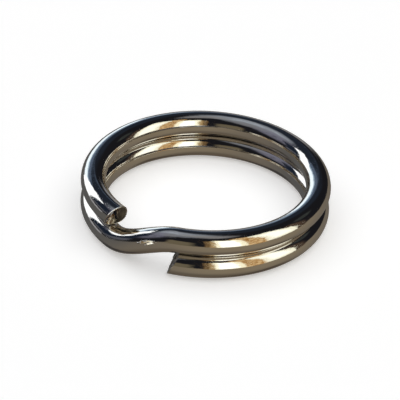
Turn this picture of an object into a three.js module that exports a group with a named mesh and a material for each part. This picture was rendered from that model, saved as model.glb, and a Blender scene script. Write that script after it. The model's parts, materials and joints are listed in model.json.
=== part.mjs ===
// Split key ring: one round spring wire wound into two flat coils that lie on each other.
//
// The frame is the ring's own: millimetres, +Z along the ring's axis, the origin on that axis at
// the underside, and the crossover bend at -Y. A place along the wire is its winding angle, in
// degrees from the middle of the crossover: negative on the upper coil, positive on the lower.
// The ring looks the same when it is turned half a turn about the horizontal line through the
// middle of its crossover, so the lower half is the upper half turned over.
//
// The wire is one springy piece. When the ring is opened, a cut end lifts off the other coil and
// the half turn behind it twists and bends, while the rest of the wire holds still. So each half
// turn behind a cut end is a solid of its own, which turns about the wire where it begins.

import * as THREE from 'three';

// Driving dimensions, in millimetres and degrees
const OUTER_DIAMETER = 25;
const WIRE_DIAMETER = 2.5;
const COIL_GAP = 0.04; // air between the two coils where they lie on each other
const CROSSOVER_ARC = 40; // winding over which the wire steps down from coil to coil
const END_ANGLE = 342; // winding from the middle of the crossover to each cut end
const END_SLANT = 0.6; // how far a cut end's outward side reaches past its centre
const FREE_ARC = 180; // winding behind each cut end that lifts when the ring is opened
const STRETCH_GAP = 0.3; // clearance between two neighbouring stretches of the wire

// How finely the round wire is faceted
const WIRE_SIDES = 16; // a multiple of four, so that a flat side faces up and another down
const STEP_ANGLE = 6;

const STEEL = { color: 0xb9bcc2, roughness: 0.1, metalness: 1 };

// Dimensions that follow
const wireRadius = WIRE_DIAMETER / 2;
const ringRadius = OUTER_DIAMETER / 2 - wireRadius;
const lowerLevel = wireRadius;
const upperLevel = lowerLevel + WIRE_DIAMETER + COIL_GAP;
const ringHeight = upperLevel + wireRadius;
const halfGap = THREE.MathUtils.radToDeg(STRETCH_GAP / 2 / ringRadius);
const crossoverEnd = CROSSOVER_ARC / 2 + halfGap;
const freeStart = END_ANGLE - FREE_ARC;

// The wire's height at a winding angle, level on both coils and smooth in between
function wireHeight(winding) {
  const half = CROSSOVER_ARC / 2;
  return upperLevel - (upperLevel - lowerLevel) * THREE.MathUtils.smoothstep(winding, -half, half);
}

// The centreline of a stretch of the wire between two winding angles
class WireCurve extends THREE.Curve {
  constructor(from, to, startSlant = 0) {
    super();
    this.from = from;
    this.to = to;
    this.startSlant = startSlant;
  }

  bearing(t) {
    return THREE.MathUtils.degToRad(-90 - THREE.MathUtils.lerp(this.from, this.to, t));
  }

  getPoint(t, target = new THREE.Vector3()) {
    const winding = THREE.MathUtils.lerp(this.from, this.to, t);
    const bearing = this.bearing(t);
    const x = ringRadius * Math.cos(bearing);
    const y = ringRadius * Math.sin(bearing);
    return target.set(x, y, wireHeight(winding));
  }

  // Frames that keep the wire's flat sides level: the normal points away from the ring's axis.
  // A slanted start leans its frame, so that the cut face is flat and its upper side is longer.
  computeFrenetFrames(segments) {
    const frames = { tangents: [], normals: [], binormals: [] };
    for (let i = 0; i <= segments; i++) {
      const bearing = this.bearing(this.getUtoTmapping(i / segments));
      const normal = new THREE.Vector3(Math.cos(bearing), Math.sin(bearing), 0);
      const tangent = this.getTangentAt(i / segments);
      const binormal = new THREE.Vector3().crossVectors(tangent, normal).normalize();
      if (i === 0) {
        binormal.addScaledVector(tangent, -this.startSlant / wireRadius);
      }
      frames.tangents.push(tangent);
      frames.normals.push(normal);
      frames.binormals.push(binormal);
    }
    return frames;
  }
}

// The wire's section: a regular outline whose flat sides touch the wire's diameter
function wireSection() {
  const corner = wireRadius / Math.cos(Math.PI / WIRE_SIDES);
  const points = [];
  for (let i = 0; i < WIRE_SIDES; i++) {
    const angle = (2 * Math.PI * (i + 0.5)) / WIRE_SIDES;
    points.push(new THREE.Vector2(corner * Math.cos(angle), corner * Math.sin(angle)));
  }
  return new THREE.Shape(points);
}

// One named stretch of the wire, as a closed tube
function wireStretch(name, from, to, startSlant = 0) {
  const steps = Math.ceil((to - from) / STEP_ANGLE);
  const extrudePath = new WireCurve(from, to, startSlant);
  const geometry = new THREE.ExtrudeGeometry(wireSection(), { steps, extrudePath });
  const mesh = new THREE.Mesh(geometry, new THREE.MeshStandardMaterial(STEEL));
  mesh.name = name;
  return mesh;
}

// One coil and the free end behind it, which runs on from the coil to the cut
function halfRing(side) {
  const half = new THREE.Group();
  half.add(wireStretch(`${side}_coil`, halfGap - freeStart, -halfGap - crossoverEnd));
  half.add(wireStretch(`${side}_free_end`, -END_ANGLE, -halfGap - freeStart, END_SLANT));
  return half;
}

const group = new THREE.Group();
group.add(wireStretch('crossover_bend', halfGap - crossoverEnd, crossoverEnd - halfGap));
group.add(halfRing('upper'));

const lowerHalf = halfRing('lower');
lowerHalf.rotation.y = Math.PI;
lowerHalf.position.z = ringHeight;
group.add(lowerHalf);

export default group;
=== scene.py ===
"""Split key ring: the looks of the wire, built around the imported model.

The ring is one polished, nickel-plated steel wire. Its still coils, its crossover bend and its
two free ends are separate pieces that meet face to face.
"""

import json
import logging
import math
from dataclasses import dataclass
from enum import Enum
from typing import Mapping, Sequence, Union

import bmesh
import bpy
from mathutils import Matrix, Vector


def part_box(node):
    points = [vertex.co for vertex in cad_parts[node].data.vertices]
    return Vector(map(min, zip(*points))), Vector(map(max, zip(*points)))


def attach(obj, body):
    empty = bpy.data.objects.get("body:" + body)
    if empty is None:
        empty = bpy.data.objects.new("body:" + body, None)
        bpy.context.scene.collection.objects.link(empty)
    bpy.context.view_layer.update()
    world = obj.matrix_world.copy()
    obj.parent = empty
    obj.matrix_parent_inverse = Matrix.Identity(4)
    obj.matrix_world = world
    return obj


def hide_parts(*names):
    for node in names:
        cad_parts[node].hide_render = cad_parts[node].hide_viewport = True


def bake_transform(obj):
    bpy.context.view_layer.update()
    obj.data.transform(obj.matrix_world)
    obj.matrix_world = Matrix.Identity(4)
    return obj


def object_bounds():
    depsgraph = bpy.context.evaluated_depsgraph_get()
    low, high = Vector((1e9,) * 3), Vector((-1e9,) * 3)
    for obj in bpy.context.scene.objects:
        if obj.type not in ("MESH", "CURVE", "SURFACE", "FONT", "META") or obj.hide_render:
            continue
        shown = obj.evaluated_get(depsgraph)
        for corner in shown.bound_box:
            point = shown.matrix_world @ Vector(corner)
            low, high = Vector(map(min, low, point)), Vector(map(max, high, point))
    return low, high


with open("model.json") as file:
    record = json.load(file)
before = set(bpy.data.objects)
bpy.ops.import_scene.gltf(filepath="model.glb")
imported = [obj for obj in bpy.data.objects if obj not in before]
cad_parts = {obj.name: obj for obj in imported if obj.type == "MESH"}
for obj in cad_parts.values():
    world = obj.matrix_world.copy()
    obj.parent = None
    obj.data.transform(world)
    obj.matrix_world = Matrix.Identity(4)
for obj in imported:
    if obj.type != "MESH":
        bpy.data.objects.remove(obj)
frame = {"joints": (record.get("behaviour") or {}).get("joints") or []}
cad_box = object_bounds()

log = logging.getLogger("key_ring")

MM = 0.001

Colour = tuple[float, float, float]


def smooth_share(value: float, low: float, high: float) -> float:
    """Works out how far value has gone from low to high, from 0 to 1, level at both ends."""
    share = min(1.0, max(0.0, (value - low) / (high - low)))
    return share * share * (3 - 2 * share)


def level_direction(azimuth: float) -> Vector:
    """Gives the level direction at an azimuth in degrees: 0 is -Y and 90 is +X."""
    turn = math.radians(azimuth)
    return Vector((math.sin(turn), -math.cos(turn), 0.0))


# ---------------------------------------------------------------- shader nodes

Operand = Union["Value", float]


class Value:
    """A number in a node tree. Arithmetic on it adds Math nodes."""

    def __init__(self, nodes: "Nodes", socket: bpy.types.NodeSocket) -> None:
        """Wraps an output socket."""
        self.nodes = nodes
        self.socket = socket

    def _math(self, operation: str, *operands: Operand) -> "Value":
        """Adds one Math node over the operands."""
        node = self.nodes.add("Math", {"operation": operation}, dict(enumerate(operands)))
        return Value(self.nodes, node.outputs[0])

    def __add__(self, other: Operand) -> "Value":
        """self + other."""
        return self._math("ADD", self, other)

    __radd__ = __add__

    def __sub__(self, other: Operand) -> "Value":
        """self - other."""
        return self._math("SUBTRACT", self, other)

    def __rsub__(self, other: Operand) -> "Value":
        """other - self."""
        return self._math("SUBTRACT", other, self)

    def __mul__(self, other: Operand) -> "Value":
        """self * other."""
        return self._math("MULTIPLY", self, other)

    __rmul__ = __mul__

    def __abs__(self) -> "Value":
        """The size of self without its sign."""
        return self._math("ABSOLUTE", self)

    def fraction(self) -> "Value":
        """What is left of self after its whole part."""
        return self._math("FRACT", self)

    def arctan2(self, other: Operand) -> "Value":
        """The angle of the point (other, self), in radians."""
        return self._math("ARCTAN2", self, other)

    def arcsine(self) -> "Value":
        """The angle whose sine is self, in radians."""
        return self._math("ARCSINE", self)

    def between(self, low: float, high: float) -> "Value":
        """Makes a smooth step on self.

        Args:
            low: Where the step is 0.
            high: Where it is 1. It may be below low, and then the step goes down.

        Returns:
            The step, from 0 to 1.
        """
        flip = high < low
        settings = {"interpolation_type": "SMOOTHSTEP"}
        ends = {"Value": self, "From Min": min(low, high), "From Max": max(low, high)}
        ends["To Min"], ends["To Max"] = (1.0, 0.0) if flip else (0.0, 1.0)
        return Value(self.nodes, self.nodes.add("MapRange", settings, ends).outputs[0])


Input = Union[Value, bpy.types.NodeSocket, float, Sequence[float]]


class Nodes:
    """The nodes of one material or world."""

    def __init__(self, tree: bpy.types.NodeTree) -> None:
        """Starts on an empty tree."""
        self.tree = tree
        tree.nodes.clear()

    def add(
        self, kind: str, settings: Mapping[str, object] | None = None,
        inputs: Mapping[str | int, Input] | None = None,
    ) -> bpy.types.Node:
        """Adds a node, sets its options and then fills its sockets.

        Args:
            kind: The node's type without its ShaderNode prefix.
            settings: Options of the node, such as a Math node's operation.
            inputs: Values or links for its sockets, by name or number.

        Returns:
            The new node.
        """
        node = self.tree.nodes.new(f"ShaderNode{kind}")
        for name, value in (settings or {}).items():
            setattr(node, name, value)
        for name, value in (inputs or {}).items():
            if isinstance(value, Value):
                value = value.socket
            if isinstance(value, bpy.types.NodeSocket):
                self.tree.links.new(value, node.inputs[name])
            else:
                node.inputs[name].default_value = value
        return node

    def blend_colours(self, share: Input, first: Input, second: Input) -> bpy.types.NodeSocket:
        """Mixes two colours.

        Args:
            share: How much of the second colour there is, from 0 to 1.
            first: The colour at 0.
            second: The colour at 1.

        Returns:
            The mixed colour's socket.
        """
        node = self.add("Mix", {"data_type": "RGBA"}, {"Factor": share})
        for place, colour in ((6, first), (7, second)):
            if isinstance(colour, bpy.types.NodeSocket):
                self.tree.links.new(colour, node.inputs[place])
            else:
                node.inputs[place].default_value = (*colour, 1.0)
        return node.outputs[2]

    def noise(self, place: Input, scale: Vector, seed: float, detail: float = 2.0) -> Value:
        """Makes soft noise that is about 0.5 on average.

        Args:
            place: The point that the noise is read at.
            scale: How many bumps it has in a metre along each axis.
            seed: Which of the many noises it is.
            detail: How many finer layers it has.

        Returns:
            The noise.
        """
        stretched = self.add("VectorMath", {"operation": "MULTIPLY"}, {0: place, 1: scale})
        options = {"noise_dimensions": "4D"}
        ends = {"Vector": stretched.outputs[0], "W": seed, "Scale": 1.0, "Detail": detail}
        return Value(self, self.add("TexNoise", options, ends).outputs[0])


# ---------------------------------------------------------------- finishes


@dataclass(frozen=True)
class PlatedWire:
    """Nickel plate over drawn steel wire: a mirror with faint lines left by the drawing die."""

    name: str = "plated_wire"
    bright: Colour = (0.80, 0.78, 0.75)
    warm: Colour = (0.74, 0.70, 0.64)
    # The dark colour of the painted shade in the crevice where the coils touch.
    crevice_shade_colour: Colour = (0.12, 0.10, 0.08)
    tarnished: float = 0.5
    crevice_shade_strength: float = 0.8
    roughness: float = 0.022
    haze: float = 0.03
    die_lines: float = 0.26
    ripple: float = 1.6
    peel: float = 0.5
    pits: float = 0.25
    scratch: float = 0.06
    pinch: float = 20.0
    relief: float = 0.01 * MM
    tooth: float = 0.22 * MM
    worn_length: float = 2.5 * MM
    bend_ends: tuple[float, float] = (6.5 * MM, 2.5 * MM)

    def build(self, form: "WireForm") -> bpy.types.Material:
        """Makes the material on the unrolled wire: across, up, and along it.

        Args:
            form: The run of the wire, for its radius and its cut ends.

        Returns:
            The material.
        """
        material = bpy.data.materials.new(self.name)
        material.use_nodes = True
        nodes = Nodes(material.node_tree)
        place = nodes.add("Attribute", {"attribute_name": WirePiece.UNROLLED}).outputs["Vector"]
        parts = nodes.add("SeparateXYZ", None, {0: place})
        up, along = Value(nodes, parts.outputs[1]), Value(nodes, parts.outputs[2])

        tarnish = nodes.noise(place, Vector((500, 500, 160)), 3.0).between(0.50, 0.72)
        lines = nodes.noise(place, Vector((7500, 7500, 80)), 11.0, 3.0)
        ripple = nodes.noise(place, Vector((330, 330, 190)), 7.0, 1.0)
        peel = nodes.noise(place, Vector((1900, 1900, 1100)), 21.0, 2.0)
        scratches = self._scratches(nodes, place)
        crevice_shade = self._crevice_shade(form, up, along)
        creases = self._creases(nodes, form, place)
        end = form.ring_radius * math.radians(form.end_angle)
        worn = abs(along).between(end - self.worn_length, end)
        bend = abs(along).between(*self.bend_ends)
        teeth = (along * (1 / self.tooth)).fraction()
        pits = nodes.noise(place, Vector((3600, 3600, 3600)), 15.0, 1.0).between(0.70, 0.80)

        colour = nodes.blend_colours(tarnish * self.tarnished, self.bright, self.warm)
        # Painted shade: a dark line along the crevice where the coils touch.
        colour = nodes.blend_colours(crevice_shade * self.crevice_shade_strength, colour, self.crevice_shade_colour)
        roughness = (
            self.roughness + self.haze * tarnish * lines + 0.08 * scratches
            + 0.04 * crevice_shade + 0.03 * worn * lines + 0.12 * creases
        )
        height = (
            self.die_lines * lines * (1.0 + 3.0 * bend) + self.ripple * ripple
            + self.peel * peel - self.scratch * scratches - self.pits * pits
            + self.pinch * teeth * creases
        )
        bump = nodes.add(
            "Bump", None, {"Strength": 1.0, "Distance": self.relief, "Height": height}
        )
        shader = nodes.add("BsdfPrincipled", None, {
            "Base Color": colour, "Metallic": 1.0, "Roughness": roughness,
            "Normal": bump.outputs[0],
        })
        nodes.add("OutputMaterial", None, {"Surface": shader.outputs[0]})
        return material

    @staticmethod
    def _crevice_shade(form: "WireForm", up: Value, along: Value) -> Value:
        """Finds the crevice where the coils touch, on top of the lower one and under the upper
        one, for a line of painted shade.

        Args:
            form: The run of the wire.
            up: The height in the wire's section.
            along: The length along the wire, from the middle of the crossover.

        Returns:
            1 in the painted shade of the crevice and 0 elsewhere.
        """
        arc = form.ring_radius * math.radians(form.crossover_arc / 2)
        lower = along.between(0.5 * arc, 1.2 * arc)
        upper = along.between(-0.5 * arc, -1.2 * arc)
        height = up * (1 / form.wire_radius)
        return lower * height.between(0.93, 0.985) + upper * height.between(-0.93, -0.985)

    @staticmethod
    def _creases(nodes: Nodes, form: "WireForm", place: bpy.types.NodeSocket) -> Value:
        """Finds the small nicks that the bending tool left on the crossover's outer flank.

        Args:
            nodes: The material's nodes.
            form: The run of the wire.
            place: The unrolled place on it.

        Returns:
            1 in a nick and 0 elsewhere.
        """
        middle = Vector((0.94 * form.wire_radius, 0.27 * form.wire_radius, -1.32 * MM))
        offset = nodes.add("VectorMath", {"operation": "SUBTRACT"}, {0: place, 1: middle})
        scaled = nodes.add(
            "VectorMath", {"operation": "DIVIDE"},
            {0: offset.outputs[0], 1: Vector((0.6, 0.25, 0.96)) * MM},
        )
        reach = nodes.add("VectorMath", {"operation": "LENGTH"}, {0: scaled.outputs[0]})
        inside = Value(nodes, reach.outputs["Value"]).between(1.0, 0.75)
        crease = abs(nodes.noise(place, Vector((900, 3800, 1100)), 3.5, 1.0) - 0.5)
        return inside * crease.between(0.088, 0.068)

    @staticmethod
    def _scratches(nodes: Nodes, place: bpy.types.NodeSocket) -> Value:
        """Draws fine hairlines in three directions.

        Args:
            nodes: The material's nodes.
            place: The unrolled place on the wire.

        Returns:
            1 on a hairline and 0 off it.
        """
        total: Operand = 0.0
        for turn, seed in ((22.0, 1.5), (-38.0, 4.5), (71.0, 9.5)):
            mapping = nodes.add("Mapping", {"vector_type": "POINT"}, {
                "Vector": place, "Rotation": (math.radians(turn), math.radians(turn / 2), 0.0),
            })
            noise = nodes.noise(mapping.outputs[0], Vector((260, 2600, 240)), seed, 1.0)
            total = abs(noise - 0.5).between(0.0035, 0.0) + total
        return total


@dataclass(frozen=True)
class ShearedFace:
    """The cut end of the wire: scored where the cutter entered, torn and duller beyond, with
    painted shade on its torn side.
    """

    name: str = "sheared_face"
    bright: Colour = (0.86, 0.83, 0.76)
    scored: Colour = (0.16, 0.105, 0.07)
    # The torn side's colour: partly duller torn steel, partly painted shade.
    torn: Colour = (0.175, 0.178, 0.160)
    roughness: float = 0.03
    torn_roughness: float = 0.20
    relief: float = 0.01 * MM

    def build(self, form: "WireForm") -> bpy.types.Material:
        """Makes the material on the unrolled wire.

        Args:
            form: The run of the wire, for its radius.

        Returns:
            The material.
        """
        material = bpy.data.materials.new(self.name)
        material.use_nodes = True
        nodes = Nodes(material.node_tree)
        place = nodes.add("Attribute", {"attribute_name": WirePiece.UNROLLED}).outputs["Vector"]
        parts = nodes.add("SeparateXYZ", None, {0: place})
        across = Value(nodes, parts.outputs[0]) * (1 / form.wire_radius)
        streaks = nodes.noise(place, Vector((6000, 700, 700)), 2.0, 3.0)
        grain = nodes.noise(place, Vector((4200, 4200, 4200)), 5.0, 4.0)
        tear_and_shade = (across + (streaks - 0.5) * 0.5).between(0.12, -0.16)
        colour = nodes.blend_colours(streaks.between(0.47, 0.53), self.scored, self.bright)
        # Painted shade: the torn side, towards the ring's axis, is darkened as well as made
        # duller.
        colour = nodes.blend_colours(tear_and_shade * (0.7 + 0.3 * grain), colour, self.torn)
        height = streaks * 0.12 + grain * tear_and_shade * 0.5
        bump = nodes.add(
            "Bump", None, {"Strength": 1.0, "Distance": self.relief, "Height": height}
        )
        shader = nodes.add("BsdfPrincipled", None, {
            "Base Color": colour, "Metallic": 1.0,
            "Roughness": self.roughness + tear_and_shade * (self.torn_roughness + 0.15 * grain),
            "Normal": bump.outputs[0],
        })
        nodes.add("OutputMaterial", None, {"Surface": shader.outputs[0]})
        return material


# ---------------------------------------------------------------- the wire


@dataclass(frozen=True)
class WireForm:
    """The run of the wire. A winding angle counts degrees from the middle of the crossover.

    It is negative on the upper coil and positive on the lower one.
    """

    ring_radius: float
    wire_radius: float
    lower_level: float
    upper_level: float
    crossover_arc: float = 40.0
    end_angle: float = 342.0
    end_slant: float = 0.6 * MM
    slant_arc: float = 9.0
    torn_reach: float = 0.40 * MM

    @classmethod
    def from_frame(cls) -> "WireForm":
        """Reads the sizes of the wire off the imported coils.

        Returns:
            The run of the wire.
        """
        low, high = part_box("lower_coil")
        wire_radius = (high[2] - low[2]) / 2
        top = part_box("upper_coil")[1][2]
        outer = max(abs(value) for corner in cad_box for value in corner[:2])
        return cls(outer - wire_radius, wire_radius, wire_radius, top - wire_radius)

    def bearing(self, winding: float) -> Vector:
        """The level direction from the ring's axis to the wire."""
        turn = math.radians(-90 - winding)
        return Vector((math.cos(turn), math.sin(turn), 0.0))

    def centre(self, winding: float) -> Vector:
        """Finds a point of the centreline.

        Args:
            winding: The winding angle.

        Returns:
            The point, in the ring's frame.
        """
        half = self.crossover_arc / 2
        drop = smooth_share(winding, -half, half)
        level = self.upper_level + (self.lower_level - self.upper_level) * drop
        return self.bearing(winding) * self.ring_radius + Vector((0, 0, level))

    def tangent(self, winding: float) -> Vector:
        """The wire's direction, towards growing winding angles."""
        step = 0.01
        return (self.centre(winding + step) - self.centre(winding - step)).normalized()

    def near_cut(self, winding: float) -> float:
        """Works out how near a section is to a cut, from 0 away from it to 1 on it."""
        return smooth_share(abs(winding), self.end_angle - self.slant_arc, self.end_angle)

    def lean(self, winding: float) -> float:
        """Works out how far a section leans along the wire for each unit of its own height."""
        return -self.end_slant / self.wire_radius * self.near_cut(winding)

    def stand_out(self, winding: float, place: Vector) -> Vector:
        """Draws the torn side of a cut end out past its sheared side.

        The torn side faces the ring's axis and the other coil.

        Args:
            winding: The winding angle of a section.
            place: A point of it, in its own frame.

        Returns:
            The point's new place in that frame.
        """
        side = math.copysign(1.0, winding)
        torn = max(0.0, (side * place.y - place.x) / (math.sqrt(2) * self.wire_radius))
        return place + Vector((0, 0, side * self.torn_reach * self.near_cut(winding) * torn ** 2))

    def section(self, winding: float) -> Matrix:
        """Places a section of the wire.

        Args:
            winding: The winding angle.

        Returns:
            Its frame: X away from the ring's axis, Y up and Z along the wire.
        """
        along = self.tangent(winding)
        outward = self.bearing(winding)
        upward = along.cross(outward) + along * self.lean(winding)
        place = Matrix((outward, upward, along)).transposed().to_4x4()
        place.translation = self.centre(winding)
        return place


@dataclass
class WirePiece:
    """A closed tube that follows the wire from one winding angle to another."""

    name: str
    form: WireForm
    start: float
    end: float
    node: str
    sides: int = 72
    step: float = 0.6
    seam_step: float = 0.02
    rim: float = 0.10 * MM
    crown: float = 0.09 * MM
    crown_steps: tuple[float, ...] = (0.3, 0.3, 0.25)

    UNROLLED = "wire_place"

    def stations(self) -> list[float]:
        """Lists where the sections stand, with a very short step beside each end.

        Returns:
            Their winding angles.
        """
        count = max(2, round((self.end - self.start) / self.step))
        inner = [self.start + (self.end - self.start) * i / count for i in range(1, count)]
        near, far = self.start + self.seam_step, self.end - self.seam_step
        return [self.start, near, *inner, far, self.end]

    def sweep(self, bm: bmesh.types.BMesh) -> None:
        """Draws the wire's section out along its run, and notes where each point lies on it.

        Args:
            bm: An empty bmesh, which takes the tube.
        """
        unrolled = bm.verts.layers.float_vector.new(self.UNROLLED)
        stations = self.stations()
        place = self.form.section(stations[0])
        bmesh.ops.create_circle(
            bm, segments=self.sides, radius=self.form.wire_radius, matrix=place
        )
        ring, edges = bm.verts[:], bm.edges[:]
        rings = [ring]
        for winding in stations[1:]:
            drawn = bmesh.ops.extrude_edge_only(bm, edges=edges)["geom"]
            ring = [part for part in drawn if isinstance(part, bmesh.types.BMVert)]
            fresh = set(ring)
            edges = [
                part for part in drawn
                if isinstance(part, bmesh.types.BMEdge) and fresh.issuperset(part.verts)
            ]
            following = self.form.section(winding)
            bmesh.ops.transform(bm, matrix=following @ place.inverted(), verts=ring)
            place = following
            rings.append(ring)
        for winding, ring in zip(stations, rings):
            place = self.form.section(winding)
            back = place.inverted()
            for vert in ring:
                vert.co = place @ self.form.stand_out(winding, back @ vert.co)
            self.note_places(ring, unrolled, winding)

    def note_places(
        self, verts: Sequence[bmesh.types.BMVert], layer: bmesh.types.BMLayerItem, winding: float
    ) -> None:
        """Notes the unrolled places of points near one section.

        Args:
            verts: The points.
            layer: The layer that holds the places.
            winding: The section's winding angle.
        """
        back = self.form.section(winding).inverted()
        length = self.form.ring_radius * math.radians(winding)
        for vert in verts:
            local = back @ vert.co
            vert[layer] = (local.x, local.y, length + local.z)

    def close(self, bm: bmesh.types.BMesh) -> None:
        """Closes both ends: flat and sharp at a seam, rounded and crowned at a cut.

        Args:
            bm: The open tube.
        """
        caps = bmesh.ops.holes_fill(bm, edges=bm.edges[:], sides=0)["faces"]
        bmesh.ops.recalc_face_normals(bm, faces=bm.faces[:])
        for face in bm.faces:
            face.smooth = True
        cut_winding = math.copysign(self.form.end_angle, self.start + self.end)
        cut_point = self.form.centre(cut_winding)
        for cap, middle in {cap: cap.calc_center_median() for cap in caps}.items():
            if (middle - cut_point).length > self.form.wire_radius:
                cap.smooth = False
                for edge in cap.edges:
                    edge.smooth = False
            else:
                self.dress_cut(bm, cap)
                near = [
                    vert for vert in bm.verts
                    if (vert.co - cut_point).length < 1.1 * self.form.wire_radius
                ]
                places = bm.verts.layers.float_vector[self.UNROLLED]
                self.note_places(near, places, cut_winding)

    def dress_cut(self, bm: bmesh.types.BMesh, cap: bmesh.types.BMFace) -> None:
        """Rounds the rim of a cut end and crowns its face.

        Args:
            bm: The tube.
            cap: The face that closes it at the cut.
        """
        middle, outward = cap.calc_center_median(), cap.normal.copy()
        bmesh.ops.bevel(
            bm, geom=cap.edges[:], offset=self.rim, segments=4, profile=0.5,
            affect="EDGES", material=-1,
        )
        face = min(bm.faces, key=lambda f: (f.calc_center_median() - middle).length)
        face.material_index = 1
        radius = self.form.wire_radius - self.rim
        for share in self.crown_steps:
            bmesh.ops.inset_region(
                bm, faces=[face], thickness=radius * share, use_even_offset=True
            )
            radius -= radius * share
            lift = outward * self.crown * share
            bmesh.ops.translate(bm, verts=face.verts[:], vec=lift)

    def build(self, materials: Sequence[bpy.types.Material]) -> bpy.types.Object:
        """Makes the piece.

        Args:
            materials: The finish of the wire, then the finish of a cut end.

        Returns:
            The piece, at the origin, with its place in its mesh.
        """
        bm = bmesh.new()
        self.sweep(bm)
        self.close(bm)
        mesh = bpy.data.meshes.new(self.name)
        bm.to_mesh(mesh)
        bm.free()
        for material in materials:
            mesh.materials.append(material)
        piece = bpy.data.objects.new(self.name, mesh)
        bpy.context.scene.collection.objects.link(piece)
        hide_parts(self.node)
        log.info("%s: %d faces", self.name, len(mesh.polygons))
        return piece


@dataclass
class StillCoils:
    """The part of the wire that holds its shape: both coils and the crossover between them."""

    form: WireForm
    free_start: float
    materials: Sequence[bpy.types.Material]
    crossover_reach: float = 21.0
    body: str = "ring"

    def build(self) -> None:
        """Builds the three pieces, which ride on one body."""
        reach = self.crossover_reach
        spans = (
            ("upper_coil", -self.free_start, -reach),
            ("crossover_bend", -reach, reach),
            ("lower_coil", reach, self.free_start),
        )
        for node, start, end in spans:
            piece = WirePiece(f"{node}_wire", self.form, start, end, node)
            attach(piece.build(self.materials), self.body)


class Side(Enum):
    """The two free ends, each with the sign of its winding angles."""

    UPPER = -1
    LOWER = 1


@dataclass
class FreeEnd:
    """The half turn behind a cut end."""

    side: Side
    form: WireForm
    free_start: float
    materials: Sequence[bpy.types.Material]
    still_body: str = "ring"

    def build(self) -> None:
        """Builds the piece, with its place baked into its mesh."""
        label = self.side.name.lower()
        span = sorted(self.side.value * angle for angle in (self.free_start, self.form.end_angle))
        piece = WirePiece(f"{label}_free_end_wire", self.form, *span, f"{label}_free_end")
        root = self.form.centre(self.side.value * self.free_start)
        tip = self.form.centre(self.side.value * self.form.end_angle)
        shape = piece.build(self.materials)
        if self.side is Side.UPPER:
            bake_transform(shape)
        else:
            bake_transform(shape)


# ---------------------------------------------------------------- the studio


class Outline(Enum):
    """The outline of a patch of the studio, as the plating mirrors it."""

    UPRIGHT = "upright"
    ROUND = "round"


@dataclass(frozen=True)
class Patch:
    """A soft-edged patch of light or shade, by direction.

    Angles are in degrees: azimuths from 0 to 360, from the front and round by the right. A round
    patch is centred between its limits, and its radius is half its height.
    """

    left: float
    right: float
    bottom: float
    top: float
    colour: Colour
    edge: float = 3.0
    outline: Outline = Outline.UPRIGHT
    share: float = 1.0


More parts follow.
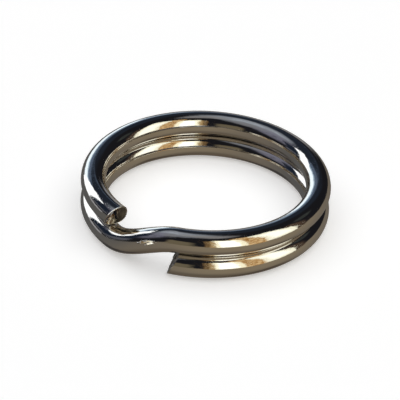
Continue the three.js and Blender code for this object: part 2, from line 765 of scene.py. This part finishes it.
@dataclass
class Studio:
    """A pale floor and backdrop, and the lights and dark cards that the plating mirrors."""

    view_azimuth: float
    table_warm: Colour = (0.245, 0.200, 0.138)
    table_middle: Colour = (0.176, 0.150, 0.118)
    table_cool: Colour = (0.103, 0.102, 0.100)
    # Painted shade: the mirrored floor's colour straight below, where the ring's shadow falls.
    table_shaded_below: Colour = (0.128, 0.103, 0.076)
    room: Colour = (0.0105, 0.0105, 0.0130)
    amber_deep: Colour = (0.40, 0.21, 0.065)
    amber_card: Patch = Patch(34, 58, -8, 62, (0.78, 0.54, 0.27), 4)
    ragged: float = 3.6
    dome_radius: float = 0.8
    floor_white: float = 0.86
    floor_glow: float = 0.42
    backdrop_glow: float = 0.99
    softbox_power: float = 2.1
    softbox_width: float = 100.0
    patches: Sequence[Patch] = (
        Patch(150, 245, 30, 60, (0.016, 0.021, 0.032), 12),
        Patch(-106, -106, 45, 91, (0.37, 0.41, 0.47), 16, Outline.ROUND),
        Patch(-88, -88, 24, 60, (0.19, 0.19, 0.25), 20, Outline.ROUND),
        Patch(-62, -62, 48, 74, (0.20, 0.205, 0.225), 14, Outline.ROUND),
        Patch(40, 40, 75, 97, (0.25, 0.245, 0.25), 10, Outline.ROUND),
        Patch(322, 351, -4, 28, (0.150, 0.125, 0.080), 8),
        Patch(84, 98, -6, 44, (0.075, 0.050, 0.035), 6),
        Patch(2, 14, -4, 50, (0.17, 0.105, 0.048), 2),
        Patch(7, 16, -5, 51, (0.46, 0.32, 0.15), 3),
        Patch(11.5, 38, -6, 53, (1.20, 1.14, 0.84), 2),
        Patch(15, 32, -3, 49, (1.60, 1.60, 1.48), 3),
        Patch(56, 87, -6, 60, (1.14, 1.12, 0.90), 2.5),
        Patch(62, 81, 4, 50, (1.45, 1.43, 1.26), 6),
        Patch(166, 186, -6, 16, (0.29, 0.29, 0.30), 8),
        Patch(178, 224, 17, 31, (0.100, 0.135, 0.200), 5),
        Patch(182, 224, 15, 22, (0.38, 0.515, 0.65), 4),
        Patch(242, 264, 12, 36, (0.012, 0.018, 0.032), 5),
        Patch(250, 268, 6, 13, (0.100, 0.105, 0.125), 3),
        Patch(243, 263, -8, 0, (0.36, 0.36, 0.38), 3),
        Patch(187, 224, 1, 18, (1.09, 1.23, 1.33), 2),
        Patch(220, 242, -3, 37, (1.40, 1.45, 1.50), 2.5),
        Patch(113, 113, 30, 44, (0.045, 0.050, 0.047), 6, Outline.ROUND),
        # Painted shadow: the ring's own shadow on the mirrored floor, to the back left.
        Patch(208, 252, -76, -44, (0.024, 0.024, 0.026), 14, share=0.8),
        # Painted shadow: the contact shadow under the ring on the mirrored floor, to the right.
        Patch(88, 142, -84, -52, (0.050, 0.038, 0.027), 14, share=0.7),
    )

    def build_world(self) -> None:
        """Makes the surroundings that the plating mirrors, as one procedural world.

        They give the wire its reflections only, and no light to the floor.
        """
        world = bpy.data.worlds.new("studio")
        bpy.context.scene.world = world
        world.use_nodes = True
        nodes = Nodes(world.node_tree)
        way = nodes.add("TexCoord").outputs["Generated"]
        height = Value(nodes, nodes.add("SeparateXYZ", None, {0: way}).outputs[2])
        elevation = height.arcsine() * (180 / math.pi)
        back = self._along(nodes, way, level_direction(self.view_azimuth + 180))
        left = self._along(nodes, way, level_direction(self.view_azimuth - 90))
        azimuth = left.arctan2(back) * (180 / math.pi) + 180

        warm = self._along(nodes, way, level_direction(self.view_azimuth + 40))
        table = nodes.blend_colours(
            warm.between(-0.9, -0.1), self.table_cool, self.table_middle
        )
        table = nodes.blend_colours(warm.between(-0.15, 0.9), table, self.table_warm)
        # Painted shade: the mirrored floor darkens steeply below, standing for the ring's own
        # shadow.
        table = nodes.blend_colours(elevation.between(-42, -78), table, self.table_shaded_below)

        wobble = nodes.noise(way, Vector((15, 15, 15)), 1.0, 6.0) - 0.5
        shift = nodes.noise(way, Vector((13, 13, 19)), 6.0, 6.0) - 0.5
        azimuth = azimuth + wobble * (3 * self.ragged)
        ragged_height = elevation + shift * (2 * self.ragged)
        grain = nodes.noise(way, Vector((16, 16, 5)), 4.0, 4.0).between(0.38, 0.62)
        amber = nodes.blend_colours(grain, self.amber_deep, self.amber_card.colour)
        mottle = nodes.noise(way, Vector((9, 9, 9)), 12.0, 5.0).between(0.36, 0.60)

        colour = nodes.blend_colours(elevation.between(-2.0, 1.0), table, self.room)
        share = self._upright_share(azimuth, ragged_height, self.amber_card)
        colour = nodes.blend_colours(share, colour, amber)
        for patch in self.patches:
            if patch.outline is Outline.ROUND:
                share = self._round_share(nodes, way, patch) * (0.55 + 0.45 * mottle)
            else:
                share = self._upright_share(azimuth, ragged_height, patch)
            colour = nodes.blend_colours(share * patch.share, colour, patch.colour)
        light = nodes.add("Background", None, {"Color": colour, "Strength": 1.0})
        nodes.add("OutputWorld", None, {"Surface": light.outputs[0]})
        world.cycles_visibility.diffuse = False

    @staticmethod
    def _along(nodes: Nodes, way: bpy.types.NodeSocket, axis: Vector) -> Value:
        """How far a direction goes along an axis."""
        node = nodes.add("VectorMath", {"operation": "DOT_PRODUCT"}, {0: way, 1: axis})
        return Value(nodes, node.outputs["Value"])

    @staticmethod
    def _upright_share(azimuth: Value, elevation: Value, patch: Patch) -> Value:
        """Works out how much of an upright patch shows in each direction.

        Args:
            azimuth: The azimuth, in degrees.
            elevation: The elevation, in degrees.
            patch: The patch.

        Returns:
            The share, from 0 to 1.
        """
        edge = patch.edge / 2
        return (
            azimuth.between(patch.left - edge, patch.left + edge)
            * azimuth.between(patch.right + edge, patch.right - edge)
            * elevation.between(patch.bottom - edge, patch.bottom + edge)
            * elevation.between(patch.top + edge, patch.top - edge)
        )

    def _round_share(
        self, nodes: Nodes, way: bpy.types.NodeSocket, patch: Patch
    ) -> Value:
        """Works out how much of a round patch shows in each direction.

        Args:
            nodes: The world's nodes.
            way: The direction.
            patch: The patch.

        Returns:
            The share, from 0 to 1.
        """
        rise = math.radians((patch.bottom + patch.top) / 2)
        middle = level_direction(self.view_azimuth + (patch.left + patch.right) / 2)
        middle = middle * math.cos(rise) + Vector((0, 0, math.sin(rise)))
        radius, edge = (patch.top - patch.bottom) / 2, patch.edge / 2
        outer = math.cos(math.radians(radius + edge))
        inner = math.cos(math.radians(max(0.0, radius - edge)))
        return self._along(nodes, way, middle).between(outer, inner)

    def build_set(self) -> None:
        """Makes the floor, the backdrop and the soft light from above."""
        bm = bmesh.new()
        bmesh.ops.create_circle(bm, cap_ends=True, segments=96, radius=self.dome_radius)
        floor = self._stage_object("studio_floor", bm)
        material = bpy.data.materials.new("pale_floor")
        material.use_nodes = True
        nodes = Nodes(material.node_tree)
        tone = (self.floor_white, self.floor_white, self.floor_white, 1.0)
        matt = nodes.add("BsdfDiffuse", None, {"Color": tone})
        glow = nodes.add("Emission", None, {"Strength": self.floor_glow})
        both = nodes.add("AddShader", None, {0: matt.outputs[0], 1: glow.outputs[0]})
        nodes.add("OutputMaterial", None, {"Surface": both.outputs[0]})
        floor.data.materials.append(material)
        floor.visible_glossy = False

        bm = bmesh.new()
        bmesh.ops.create_uvsphere(bm, u_segments=48, v_segments=24, radius=self.dome_radius)
        dome = self._stage_object("studio_backdrop", bm)
        material = bpy.data.materials.new("pale_backdrop")
        material.use_nodes = True
        nodes = Nodes(material.node_tree)
        glow = nodes.add("Emission", None, {"Strength": self.backdrop_glow})
        nodes.add("OutputMaterial", None, {"Surface": glow.outputs[0]})
        dome.data.materials.append(material)
        dome.visible_glossy = dome.visible_diffuse = dome.visible_shadow = False

        sun = bpy.data.lights.new("overhead_softbox", "SUN")
        sun.energy = self.softbox_power
        sun.angle = math.radians(self.softbox_width)
        lamp = bpy.data.objects.new("overhead_softbox", sun)
        lamp.visible_glossy = False
        bpy.context.scene.collection.objects.link(lamp)

    @staticmethod
    def _stage_object(name: str, bm: bmesh.types.BMesh) -> bpy.types.Object:
        """Turns a bmesh into an object of the set.

        Args:
            name: The object's name.
            bm: Its mesh, which is used up.

        Returns:
            The object.
        """
        mesh = bpy.data.meshes.new(name)
        bm.to_mesh(mesh)
        bm.free()
        made = bpy.data.objects.new(name, mesh)
        bpy.context.scene.collection.objects.link(made)
        return made

    def build(self) -> None:
        """Builds the whole studio."""
        self.build_world()
        self.build_set()
        bpy.context.scene.view_settings.view_transform = "Standard"
        bpy.context.scene.view_settings.look = "None"


@dataclass
class LongLensCamera:
    """A long lens above the front right, turned slightly about its own axis."""

    azimuth: float = 31.85
    elevation: float = 32.52
    roll: float = 2.975
    distance: float = 220.9 * MM
    lens: float = 198.3
    sensor: float = 36.0
    shift: tuple[float, float] = (-0.0137, -0.0224)
    clip: tuple[float, float] = (0.01, 5.0)

    def build(self, target: Vector) -> None:
        """Aims the camera and makes it the scene's own.

        Args:
            target: The point that it looks at, before its shift.
        """
        rise = math.radians(self.elevation)
        back = level_direction(self.azimuth) * math.cos(rise) + Vector((0, 0, math.sin(rise)))
        data = bpy.data.cameras.new("camera")
        data.lens = self.lens
        data.sensor_width = self.sensor
        data.shift_x, data.shift_y = self.shift
        data.clip_start, data.clip_end = self.clip
        camera = bpy.data.objects.new("camera", data)
        aim = back.to_track_quat("Z", "Y").to_matrix().to_4x4()
        roll = Matrix.Rotation(math.radians(self.roll), 4, "Z")
        camera.matrix_world = Matrix.Translation(target + back * self.distance) @ aim @ roll
        bpy.context.scene.collection.objects.link(camera)
        bpy.context.scene.camera = camera


def free_start_angle() -> float:
    """Finds where the free ends begin, from where the frame's joint stands.

    Returns:
        The winding angle.
    """
    joint = next(j for j in frame["joints"] if j["name"] == "lower_end_opens")
    x, y = joint["pos_m"][:2]
    return -90 - math.degrees(math.atan2(y, x)) + 360


def main() -> None:
    """Builds the ring, the studio and the camera."""
    logging.basicConfig(level=logging.INFO, format="%(name)s: %(message)s")
    form = WireForm.from_frame()
    camera = LongLensCamera()
    camera.build(Vector((0, 0, (form.lower_level + form.upper_level) / 2)))
    Studio(camera.azimuth).build()
    materials = (PlatedWire().build(form), ShearedFace().build(form))
    free_start = free_start_angle()
    log.info("free ends begin at %.2f degrees", free_start)
    StillCoils(form, free_start, materials).build()
    for side in Side:
        FreeEnd(side, form, free_start, materials).build()


if __name__ == "__main__":
    main()
